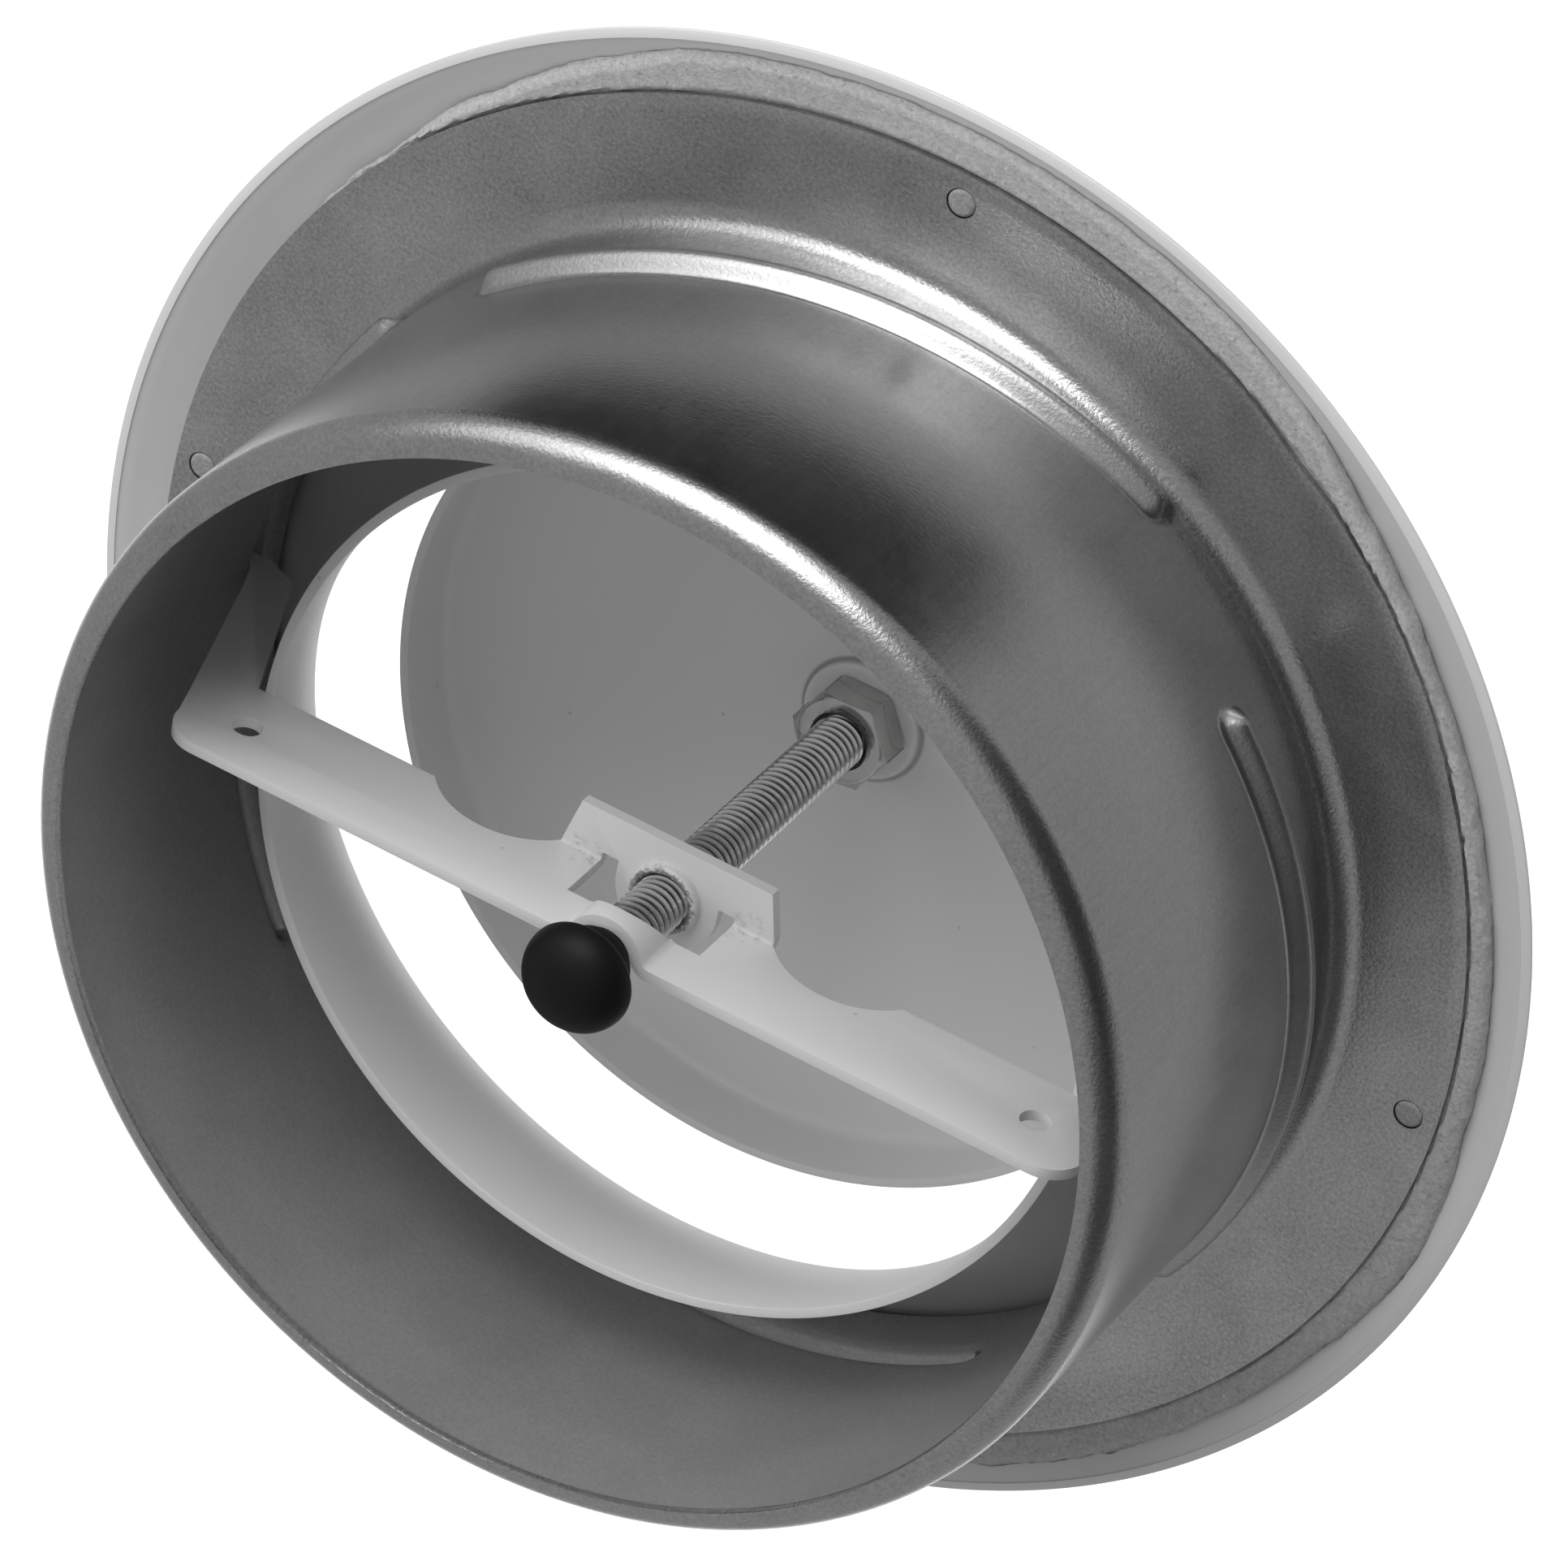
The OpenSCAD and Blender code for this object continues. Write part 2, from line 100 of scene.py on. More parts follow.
class CollarSettings(PropertyGroup):
    """Shape of the pressed steel collar."""
    roll_r: mm("Roll radius", "Outer radius of the spigot's rolled end", 4.0)
    bend_r: mm("Bend radius", "Radius between spigot and flange", 3.2)
    groove_w: mm("Groove width", "Width of a bayonet groove at the wall", 5.2)
    groove_depth: mm("Groove depth", "How far a groove stands out of the wall", 1.8)
    groove_start_z: mm("Groove start", "Height of a groove's middle at its shallow end", 3.35)
    groove_pitch: mm("Groove pitch", "Rise of a groove in a full turn", 40.0)
    groove_span: FloatProperty(name="Groove span", description="Angle that a groove covers",
                               default=radians(74), subtype="ANGLE")
    groove_deep_end: FloatProperty(name="Groove deep end",
                                   description="Angle of the first groove's deep end",
                                   default=radians(40.9), subtype="ANGLE")
    groove_count: IntProperty(name="Grooves", description="Number of grooves", default=4, min=1)
    hole_angle: FloatProperty(name="Hole angle", description="Angle of the first fixing hole",
                              default=radians(-2.5), subtype="ANGLE")
    dent_angle: FloatProperty(name="Dent angle", description="Angle of the dent in the flange's edge",
                              default=radians(55), subtype="ANGLE")
    dent_depth: mm("Dent depth", "Depth of the dent in the flange's edge", 0.4)


class PaintedSettings(PropertyGroup):
    """Shape of the painted ring, disc and bridge."""
    neck_r: mm("Neck radius", "Inner radius of the ring's neck at its rear edge", 47.2)
    bell_r: mm("Bell radius", "Radius of the bell mouth", 34.0)
    bell_turn: FloatProperty(name="Bell turn", description="Angle of the bell mouth's arc",
                             default=radians(71), subtype="ANGLE")
    tray_slope: FloatProperty(name="Tray slope", description="Slope of the ring's outer edge",
                              default=radians(33), subtype="ANGLE")
    lip_h: mm("Lip height", "Height of the lip round the ring", 0.6)
    ring_t: mm("Ring sheet", "Thickness of the ring's sheet", 1.1)
    disc_t: mm("Disc sheet", "Thickness of the disc's sheet", 1.0)
    disc_floor_z: mm("Disc floor", "Height of the floor beside the pad", -15.5, -30.0)
    disc_rise: mm("Disc rise", "Rise of the floor from pad to wall", 7.2)
    disc_bend_r: mm("Disc bend", "Inner radius between floor and wall", 1.5)
    pad_r: mm("Pad radius", "Radius of the raised pad under the nut", 6.75)
    pad_h: mm("Pad height", "Height of the raised pad", 1.0)
    edge_round: mm("Edge round", "Radius of the painted edges", 0.3)


class FoamSettings(PropertyGroup):
    """Shape of the foam gasket."""
    inner_r: mm("Inner radius", "Inner radius of the gasket", 68.0)
    swell: mm("Swell", "How far the foam rises past the flange's edge", 0.65)
    bulge: mm("Bulge", "How far the foam stands out of the fixing holes", 0.12)
    thickness: mm("Thickness", "Thickness of the foam under the flange", 3.6)


class ThreadSettings(PropertyGroup):
    """Shape of the spindle's thread."""
    pitch: mm("Pitch", "Pitch of the thread", 1.0)
    depth: mm("Depth", "Depth of the thread", 0.56)
    steps: IntProperty(name="Steps", description="Steps in one turn of the thread", default=40, min=12)


class FinishSettings(PropertyGroup):
    """Colours of the valve's materials."""
    zinc: colour("Galvanised steel", "Colour of the collar's zinc", (0.587, 0.586, 0.588))
    paint: colour("White paint", "Colour of the powder coat", (0.80, 0.798, 0.796))
    foam: colour("Foam", "Colour of the gasket's foam", (0.52, 0.52, 0.518))
    bright: colour("Bright zinc", "Colour of the spindle and nut", (0.64, 0.637, 0.632))
    plastic: colour("Black plastic", "Colour of the cap", (0.006, 0.006, 0.006))
    bare: colour("Bare steel", "Colour where the paint is chipped", (0.16, 0.15, 0.145))


class StageSettings(PropertyGroup):
    """Camera, lamps and floor."""
    lens: FloatProperty(name="Lens", description="Focal length for a 36 mm wide frame",
                        default=208.573, unit="CAMERA")
    camera_place: FloatVectorProperty(name="Camera place", description="Where the camera stands, mm",
                                      default=(281.7, 537.3, 712.4), size=3)
    camera_turn: FloatVectorProperty(name="Camera turn", description="How the camera is turned, degrees",
                                     default=(-29.7006, 28.8184, 12.4604), size=3)
    floor_drop: mm("Floor drop", "Distance from the wall plane down to the floor", 420.0, 0.0, 2000.0)
    sky: FloatProperty(name="Studio light", description="Level of the even light", default=0.43)
    key: FloatProperty(name="Key lamp", description="Power of the large soft lamp in watts",
                       default=6.6)


# Materials

class Socket:
    """An output of a shader node that can be used in sums, products and comparisons."""

    def __init__(self, graph, link):
        self.graph = graph
        self.link = link

    def _maths(self, operation, first, second):
        return self.graph.node("ShaderNodeMath", {"operation": operation}, {0: first, 1: second})

    def __add__(self, other):
        return self._maths("ADD", self, other)

    __radd__ = __add__

    def __sub__(self, other):
        return self._maths("SUBTRACT", self, other)

    def __rsub__(self, other):
        return self._maths("SUBTRACT", other, self)

    def __mul__(self, other):
        return self._maths("MULTIPLY", self, other)

    __rmul__ = __mul__

    def __truediv__(self, other):
        return self._maths("DIVIDE", self, other)

    def __pow__(self, other):
        return self._maths("POWER", self, other)

    def __gt__(self, other):
        return self._maths("GREATER_THAN", self, other)

    def __lt__(self, other):
        return self._maths("LESS_THAN", self, other)


class Graph:
    """The node tree of one material or of the world."""

    def __init__(self, owner, output="ShaderNodeOutputMaterial"):
        owner.use_nodes = True
        self.tree = owner.node_tree
        self.tree.nodes.clear()
        self.output = self.tree.nodes.new(output)

    def node(self, kind, settings=None, sockets=None, output=0):
        """Adds a node: its settings are set first, then its sockets are given values or links."""
        made = self.tree.nodes.new(kind)
        for name, value in (settings or {}).items():
            if name == "stops":
                self._stops(made.color_ramp, value)
            else:
                setattr(made, name, value)
        for key, value in (sockets or {}).items():
            target = made.inputs[key]
            if isinstance(value, Socket):
                self.tree.links.new(value.link, target)
            else:
                target.default_value = value
        return Socket(self, made.outputs[output])

    @staticmethod
    def _stops(ramp, stops):
        while len(ramp.elements) < len(stops):
            ramp.elements.new(1.0)
        for element, (place, level) in zip(ramp.elements, stops):
            element.position = place
            element.color = (level, level, level, 1.0)

    def surface(self, shader):
        self.tree.links.new(shader.link, self.output.inputs["Surface"])

    def place(self):
        """Object coordinates, which are the frame's own because no piece is moved."""
        return self.node("ShaderNodeTexCoord", output="Object")

    def parts(self, vector):
        """The three numbers of a vector."""
        split = self.node("ShaderNodeSeparateXYZ", sockets={0: vector})
        return [Socket(self, split.link.node.outputs[i]) for i in range(3)]

    def scaled(self, vector, scale):
        return self.node("ShaderNodeMapping", sockets={"Vector": vector, "Scale": scale})

    def noise(self, vector, scale, detail=2.0, roughness=0.5, distortion=0.0):
        return self.node("ShaderNodeTexNoise", sockets={
            "Vector": vector, "Scale": scale, "Detail": detail, "Roughness": roughness,
            "Distortion": distortion})

    def cells(self, vector, scale, feature="F1", randomness=1.0):
        return self.node("ShaderNodeTexVoronoi", {"feature": feature}, {
            "Vector": vector, "Scale": scale, "Randomness": randomness})

    def step(self, value, low, high):
        """0 below low, 1 above high, smooth between; low above high turns it round."""
        return self.node("ShaderNodeMapRange", {"interpolation_type": "SMOOTHSTEP"}, {
            "Value": value, "From Min": low, "From Max": high})

    def tone(self, base, level):
        """A colour made lighter or darker by a varying level."""
        return self.node("ShaderNodeVectorMath", {"operation": "SCALE"},
                         {0: tuple(base), "Scale": level})

    def mix(self, factor, first, second):
        """A colour between two colours."""
        values = {0: factor, 6: first, 7: second}
        for key in (6, 7):
            if not isinstance(values[key], Socket):
                values[key] = (*values[key], 1.0)
        return self.node("ShaderNodeMix", {"data_type": "RGBA"}, values, output=2)

    def bump(self, height, distance, strength=1.0, under=None):
        sockets = {"Height": height, "Distance": distance, "Strength": strength}
        if under:
            sockets["Normal"] = under
        return self.node("ShaderNodeBump", sockets=sockets)

    def principled(self, **sockets):
        names = {name.replace("_", " ").title(): value for name, value in sockets.items()}
        if "Specular Ior Level" in names:
            names["Specular IOR Level"] = names.pop("Specular Ior Level")
        shader = self.node("ShaderNodeBsdfPrincipled", sockets=names)
        self.surface(shader)
        return shader

    def near(self, vector, point, radius, soft):
        """1 within a radius of a point, in metres, fading to 0."""
        gap = self.node("ShaderNodeVectorMath", {"operation": "DISTANCE"},
                        {0: vector, 1: point}, output="Value")
        return self.step(gap, radius + soft, radius)


def finishes():
    return bpy.context.scene.valve_finish


def new_material(name):
    material = bpy.data.materials.new(name)
    return material, Graph(material)


def galvanised_steel():
    """Zinc-coated sheet: mottled and grainy on the flange, brushed along the spigot's wall."""
    material, g = new_material("galvanised_steel")
    place = g.place()
    x, y, z = g.parts(place)
    radius = (x * x + y * y) ** 0.5
    flange = g.step(radius, 64.5 * MM, 67 * MM)
    wall = g.step(z, 3 * MM, 7 * MM)
    bend = (1 - wall) * (1 - flange)
    inner = g.step(radius, 61.75 * MM, 61.45 * MM) * wall * g.step(z, 46 * MM, 44.5 * MM)
    outer = wall * (1 - inner)
    ridge = g.step(radius, 62.15 * MM, 62.6 * MM) * wall
    roll = g.step(z, 44.6 * MM, 45.6 * MM)
    cloud = g.noise(place, 80, 4.0, 0.6, 0.5)
    drift = g.noise(place, 24, 2.0, 0.5)
    grain = g.noise(place, 2300, 2.0, 0.75)
    pits = g.noise(place, 2600, 2.0, 0.6)
    lines = g.noise(g.scaled(place, (3200, 3200, 60)), 1.0, 2.0, 0.6)
    level = (0.86 + (cloud - 0.5) * (0.22 + flange * 0.34) + (drift - 0.5) * 0.16
             + (grain - 0.5) * (0.42 + flange * 0.62 + bend * 0.3 + roll * 0.25)
             + (lines - 0.5) * outer * 0.16)
    rough = (0.24 + (cloud - 0.5) * 0.10 + flange * 0.05 + inner * 0.22 + ridge * 0.10
             + bend * 0.04 + roll * 0.03
             + (lines - 0.5) * outer * 0.04)
    fine = g.bump(grain, 0.02 * MM, 0.5)
    peel = g.bump(pits * (bend * 0.28 + ridge * 0.18 + roll * 0.24 + flange * 0.2 + 0.02), 0.13 * MM,
                  1.0, fine)
    brushed = g.bump(lines * outer, 0.003 * MM, 0.5, peel)
    g.principled(base_color=g.tone(finishes().zinc, level), metallic=1 - inner * 0.25,
                 roughness=rough, normal=brushed)
    return material


def white_paint():
    """Powder coat with a faint orange peel, sparse specks, chips on the rim, a worn boss, grime on the tab and round
    the boss, and painted shade in the crease round the disc's pad.
    """
    material, g = new_material("white_paint")
    place = g.place()
    x, y, z = g.parts(place)
    radius = (x * x + y * y) ** 0.5
    peel = g.noise(place, 620, 2.0, 0.5)
    dust = g.noise(place, 3200, 1.0, 0.6)
    cloud = g.noise(place, 22, 2.0, 0.5)
    ragged = g.node("ShaderNodeVectorMath", {"operation": "ADD"}, {
        0: place,
        1: g.node("ShaderNodeVectorMath", {"operation": "SCALE"}, {
            0: g.node("ShaderNodeTexNoise", sockets={"Vector": place, "Scale": 900.0}, output=1),
            "Scale": 1.4 * MM})})
    specks = g.step(g.cells(place, 150), 0.045, 0.02)
    chips = specks * 0.0
    for point, size in RIM_CHIPS:
        chips = chips + g.near(ragged, point, size, 0.12 * MM)
    boss = (g.step(radius, 4.25 * MM, 3.5 * MM) * g.step(z, 26.3 * MM, 26.8 * MM)
            * g.step(z, 30 * MM, 29 * MM))
    worn = g.step(g.noise(place, 2200, 2.0, 0.7) + boss * 0.28, 0.70, 0.78) * boss * 0.6
    bare = g.node("ShaderNodeMath", {"operation": "MINIMUM"}, {0: chips + worn, 1: 1.0})
    grime = (g.step(g.noise(place, 900, 3.0, 0.75), 0.50, 0.74)
             * (g.near(place, (9.3 * MM, 1.2 * MM, 26.6 * MM), 1.2 * MM, 1.6 * MM) * 0.5
                + g.near(place, (-9.3 * MM, 1.2 * MM, 26.6 * MM), 1.2 * MM, 1.6 * MM) * 0.5
                + g.near(place, (0, 0, 27.2 * MM), 3.4 * MM, 1.4 * MM) * 0.5))
    # Painted shade: a dark ring in the crease round the foot of the disc's pad
    pad_crease_shade = (g.step(radius, 6.6 * MM, 6.95 * MM) * g.step(radius, 7.5 * MM, 7.05 * MM)
            * g.step(z, -13.2 * MM, -13.8 * MM))
    level = 1.0 + (cloud - 0.5) * 0.05 + (dust - 0.5) * 0.03
    paint = g.mix(specks * 0.35, g.tone(finishes().paint, level), (0.30, 0.30, 0.30))
    # The grime colour is laid on by the grime and by the painted shade round the pad
    grimy_and_shaded = g.mix(g.node("ShaderNodeMath", {"operation": "MINIMUM"}, {0: grime + pad_crease_shade * (0.25 + cloud * 0.6), 1: 0.8}),
                  paint, (0.17, 0.165, 0.16))
    surface = g.bump(peel, 0.018 * MM, 0.6)
    chipped = g.bump(1 - bare, 0.08 * MM, 1.0, surface)
    g.principled(base_color=g.mix(bare, grimy_and_shaded, tuple(finishes().bare)),
                 metallic=bare * 0.8, roughness=0.34 + (peel - 0.5) * 0.08 + bare * 0.15,
                 normal=chipped)
    return material


def gasket_foam():
    """Open-cell foam: pale and dark cells the size of a pinhead over a soft grey, with painted shade on the foam in
    the fixing holes.
    """
    material, g = new_material("gasket_foam")
    place = g.place()
    x, y, z = g.parts(place)
    radius = (x * x + y * y) ** 0.5
    # Painted shade: the foam in the fixing holes is made a third darker
    shaded_in_holes = g.step(z, -0.82 * MM, -0.72 * MM) * g.step(radius, 75.7 * MM, 75.4 * MM)
    cells = g.cells(place, 2300)
    coarse = g.noise(place, 1800, 2.0, 0.8)
    cloud = g.noise(place, 60, 2.0, 0.5)
    pale = g.step(g.noise(place, 1500, 2.0, 0.7), 0.66, 0.74)
    dark = g.step(g.noise(place, 1700, 2.0, 0.7), 0.40, 0.30)
    level = ((0.96 + (coarse - 0.5) * 0.80 + (cloud - 0.5) * 0.20 + pale * 0.36 - dark * 0.26)
             * (1 - shaded_in_holes * 0.34))
    normal = g.bump(cells + coarse * 0.6, 0.055 * MM, 0.8)
    g.principled(base_color=g.tone(finishes().foam, level), roughness=0.92, normal=normal)
    return material


def bright_zinc():
    """Bright plated steel of the spindle and the nut, with painted shade darkening the thread's root and a painted
    highlight lightening its flanks.
    """
    material, g = new_material("bright_zinc")
    place = g.place()
    x, y, z = g.parts(place)
    radius = (x * x + y * y) ** 0.5
    shaded_root = g.step(radius, 2.85 * MM, 2.5 * MM) * g.step(radius, 2.0 * MM, 2.3 * MM)
    stain = g.noise(place, 260, 3.0, 0.6)
    fine = g.noise(place, 2400, 2.0, 0.6)
    crest = g.step(radius, 2.98 * MM, 2.9 * MM)
    # Painted highlight and painted shade: the thread is lightened inside 2.9 mm radius and darkened much more in its
    # root
    level = 0.86 + (stain - 0.5) * 0.5 + crest * 0.34 - shaded_root * 0.95
    g.principled(base_color=g.tone(finishes().bright, level), metallic=1.0,
                 roughness=0.15 + (stain - 0.5) * 0.10 + shaded_root * 0.12,
                 normal=g.bump(fine, 0.015 * MM, 0.5))
    return material


def black_plastic():
    """Soft matt black plastic of the cap."""
    material, g = new_material("black_plastic")
    place = g.place()
    fine = g.noise(place, 1700, 2.0, 0.6)
    cloud = g.noise(place, 120, 2.0, 0.5)
    g.principled(base_color=g.tone(finishes().plastic, 0.9 + cloud * 0.3),
                 roughness=0.5 + (cloud - 0.5) * 0.12, specular_ior_level=0.22,
                 normal=g.bump(fine, 0.02 * MM, 0.5))
    return material


MAKERS = {}


def material_of(maker):
    """The material that a function makes, made once."""
    if maker.__name__ not in MAKERS:
        MAKERS[maker.__name__] = maker()
    return MAKERS[maker.__name__]


def polar(radius, angle, z=0.0):
    return Vector((radius * cos(angle), radius * sin(angle), z))


# Chips in the ring's paint, with their radii
RIM_CHIPS = [(polar(83.3 * MM, radians(-7.5), -0.4 * MM), 0.35 * MM),
             (polar(83.4 * MM, radians(-18.5), -0.9 * MM), 0.45 * MM),
             (polar(83.4 * MM, radians(-19.8), -0.5 * MM), 0.5 * MM),
             (polar(83.4 * MM, radians(-21.0), -1.2 * MM), 0.3 * MM)]


# Meshes

class Outline:
    """A chain of edges in the XZ plane, drawn with lines and arcs, to be spun about the axis."""

    def __init__(self, radius, z):
        self.bm = bmesh.new()
        self.last = self.bm.verts.new((radius, 0, z))
        self.first = self.last

    def line(self, radius, z, parts=1):
        start = self.last.co.copy()
        end = Vector((radius, 0, z))
        for i in range(parts):
            vert = self.bm.verts.new(start.lerp(end, (i + 1) / parts))
            self.bm.edges.new((self.last, vert))
            self.last = vert
        return self

    def arc(self, centre_r, centre_z, angle, steps):
        """Turns the last point about a centre. A positive angle goes from +X towards +Z."""
        made = bmesh.ops.spin(self.bm, geom=[self.last], cent=(centre_r, 0, centre_z),
                              axis=(0, -1, 0), angle=angle, steps=steps, use_duplicate=False)
        self.last = next(item for item in made["geom_last"]
                         if isinstance(item, bmesh.types.BMVert))
        return self

    def close(self):
        self.bm.edges.new((self.last, self.first))
        return self

    def spin(self, name, steps, weld=0.5e-6):
        """The whole turn of the outline, as an object."""
        bmesh.ops.spin(self.bm, geom=self.bm.verts[:] + self.bm.edges[:], cent=(0, 0, 0),
                       axis=(0, 0, 1), angle=tau, steps=steps, use_merge=True,
                       use_duplicate=False)
        bmesh.ops.remove_doubles(self.bm, verts=self.bm.verts, dist=weld)
        bmesh.ops.recalc_face_normals(self.bm, faces=self.bm.faces)
        return to_object(self.bm, name)


def to_object(bm, name):
    mesh = bpy.data.meshes.new(name)
    bm.to_mesh(mesh)
    bm.free()
    obj = bpy.data.objects.new(name, mesh)
    bpy.context.scene.collection.objects.link(obj)
    return obj


def add_modifier(obj, kind, **settings):
    modifier = obj.modifiers.new(kind.title(), kind)
    for name, value in settings.items():
        setattr(modifier, name, value)
    return modifier


def round_edges(obj, width, segments=3, angle=radians(40)):
    add_modifier(obj, "BEVEL", width=width, segments=segments, limit_method="ANGLE",
                 angle_limit=angle, harden_normals=False, use_clamp_overlap=True)


def cut(obj, tool, operation="DIFFERENCE"):
    add_modifier(obj, "BOOLEAN", operation=operation, object=tool, solver="EXACT")


def settle(obj, angle=radians(35)):
    """Applies the modifiers, and shades the result smooth except at sharp edges."""
    graph = bpy.context.evaluated_depsgraph_get()
    mesh = bpy.data.meshes.new_from_object(obj.evaluated_get(graph))
    before = obj.data
    obj.modifiers.clear()
    obj.data = mesh
    bpy.data.meshes.remove(before)
    mesh.shade_smooth()
    mesh.set_sharp_from_angle(angle=angle)
    return obj


def discard(*objects):
    for obj in objects:
        bpy.data.objects.remove(obj)


def dress(obj, maker, body, slot, *nodes):
    """Gives a piece its material and its body, and hides the nodes that it stands for."""
    obj.data.materials.clear()
    obj.data.materials.append(material_of(maker))
    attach(obj, body)
    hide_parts(*nodes)
    return obj


def smooth_step(t):
    t = min(1.0, max(0.0, t))
    return t * t * (3 - 2 * t)


def turned(angle, about=0.0):
    """An angle brought to within half a turn of another."""
    return (angle - about + pi) % tau - pi + about


def groove_rise(angle, z, size):
    """How far the collar's wall stands out at a place, for its pressed grooves."""
    half = size.groove_w / 2
    for i in range(size.groove_count):
        deep_end = size.groove_deep_end + i * tau / size.groove_count
        middle = deep_end - size.groove_span / 2
        along = turned(angle, middle) - middle
        if abs(along) > size.groove_span / 2:
            continue
        centre = size.groove_start_z + (along + size.groove_span / 2) * size.groove_pitch / tau
        end_gap = (size.groove_span / 2 - abs(along)) * SPIGOT_R / MM
        past_end = max(0.0, half - end_gap)
        across = hypot(z / MM - centre, past_end) / half
        if across < 1:
            return size.groove_depth * smooth_step((1 - across) / 0.92)
    return 0.0


def row_height(angle, z, size):
    """Height of a mesh row of the wall, moved so that rows run along the nearest groove."""
    low = size.bend_r * MM
    period = tau / size.groove_count
    back = (size.groove_deep_end - angle) % period
    if back < size.groove_span:
        climb = size.groove_span - back
    else:
        climb = size.groove_span * smooth_step((back - size.groove_span) / (period - size.groove_span))
    centre = (size.groove_start_z + climb * size.groove_pitch / tau) * MM
    reach = (size.groove_w / 2 + 0.2) * MM
    share = (z - low) / (PRESSED_TOP - low)
    stops = [(0.0, low), (0.12, max(low + 0.2 * MM, centre - reach)), (0.85, centre + reach),
             (1.0, PRESSED_TOP)]
    for (first, start), (last, end) in zip(stops, stops[1:]):
        if share <= last:
            return start + (end - start) * (share - first) / (last - first)
    return z


class VALVE_OT_collar(Operator):
    """Spin the collar's sheet, press its grooves and punch its holes."""
    bl_idname = "valve.collar"
    bl_label = "Mounting collar"

    def execute(self, context):
        size = context.scene.valve_collar
        roll = size.roll_r * MM
        bend = size.bend_r * MM
        sheet = Outline(FLANGE_R, 0)
        sheet.line(SPIGOT_R + bend, 0, 6)
        sheet.arc(SPIGOT_R + bend, bend, -pi / 2, 10)
        sheet.line(SPIGOT_R, PRESSED_TOP, 30)
        sheet.line(SPIGOT_R, COLLAR_TOP - roll, 4)
        sheet.arc(SPIGOT_R - roll, COLLAR_TOP - roll, radians(84), 10)
        collar = sheet.spin("collar", 720)
        self.press(collar.data, size)
        add_modifier(collar, "SOLIDIFY", thickness=COLLAR_T, offset=-1.0, use_even_offset=False)
        round_edges(collar, 0.15 * MM, 2, radians(60))
        punches = self.punches(size)
        cut(collar, punches)
        settle(collar, radians(55))
        discard(punches)
        dress(collar, galvanised_steel, "collar", "galvanised_steel", "mounting_collar")
        return {"FINISHED"}

    @staticmethod
    def press(mesh, size):
        """Moves the wall out at the grooves, and the flange's edge in at its dent."""
        for vert in mesh.vertices:
            x, y, z = vert.co
            radius = hypot(x, y)
            angle = atan2(y, x)
            if size.bend_r * MM < z < PRESSED_TOP:
                z = vert.co.z = row_height(angle, z, size)
            grown = max(radius, SPIGOT_R + groove_rise(angle, z, size) * MM) if z > 0.2 * MM else radius
            if z < COLLAR_TOP - size.roll_r * MM:
                vert.co.x *= grown / radius
                vert.co.y *= grown / radius
            if radius > FLANGE_R - 1 * MM:
                away = abs(turned(angle, size.dent_angle) - size.dent_angle)
                dent = smooth_step(1 - away / radians(6)) * size.dent_depth * MM
                vert.co.x -= dent * cos(angle)
                vert.co.y -= dent * sin(angle)

    @staticmethod
    def punches(size):
        bm = bmesh.new()
        for i in range(HOLE_COUNT):
            spot = polar(HOLE_PCD_R, size.hole_angle + i * tau / HOLE_COUNT)
            bmesh.ops.create_cone(bm, cap_ends=True, segments=40, radius1=HOLE_R, radius2=HOLE_R,
                                  depth=6 * COLLAR_T, matrix=Matrix.Translation(spot))
        return to_object(bm, "punches")


class VALVE_OT_front_ring(Operator):
    """Spin the bell-mouthed front ring."""
    bl_idname = "valve.front_ring"
    bl_label = "Front ring"

    def execute(self, context):
        size = context.scene.valve_painted
        neck, bell = size.neck_r * MM, size.bell_r * MM
        thick = size.ring_t * MM
        turn, slope = size.bell_turn, size.tray_slope
        foot_r = neck + bell * (1 - cos(turn))
        foot_z = NECK_Z - bell * sin(turn)
        lip_r, lip_z = RING_R - 0.1 * MM, -size.lip_h * MM
        dip = pi / 2 - turn
        rise = tan(slope)
        fold = ((lip_z - foot_z - (lip_r - foot_r) * rise)
                / (cos(dip) - cos(slope) - (sin(dip) + sin(slope)) * rise))
        sheet = Outline(neck, NECK_Z)
        sheet.arc(neck + bell, NECK_Z, turn, 72)
        sheet.arc(foot_r + fold * sin(dip), foot_z + fold * cos(dip), dip + slope, 18)
        sheet.line(lip_r, lip_z, 8)
        sheet.line(RING_R, 0, 1)
        ring = sheet.spin("ring", 360)
        flip_towards_axis(ring.data, NECK_Z)
        add_modifier(ring, "SOLIDIFY", thickness=thick, offset=-1.0, use_even_offset=False)
        round_edges(ring, size.edge_round * MM, 3, radians(60))
        settle(ring)
        dress(ring, white_paint, "ring", "white_paint", "front_ring")
        return {"FINISHED"}


def flip_towards_axis(mesh, top):
    """Turns a sheet's faces so that its air side, towards the axis at the top, is the outside."""
    face = max(mesh.polygons, key=lambda f: f.center.z)
    if face.normal.x * face.center.x + face.normal.y * face.center.y > 0:
        mesh.flip_normals()


# Where the foam's edge lies, as angles in degrees with radii in mm
FOAM_EDGE = [(-150, 76.2), (-110, 79.5), (-60, 80.8), (-30, 79.8), (-15, 80.6), (0, 79.0),
             (26, 77.8), (34, 77.1), (42, 77.4), (48, 78.0), (57, 80.0), (66, 80.9), (110, 81.3),
             (118, 79.9), (130, 78.3), (142, 76.9), (165, 75.9), (210, 76.2)]


def tray_height(radius):
    """Height of the ring's tray under the foam's edge, in metres."""
    size = bpy.context.scene.valve_painted
    behind = (size.ring_t + 0.1) * MM / cos(size.tray_slope)
    return behind - size.lip_h * MM - (RING_R - radius) * tan(size.tray_slope)


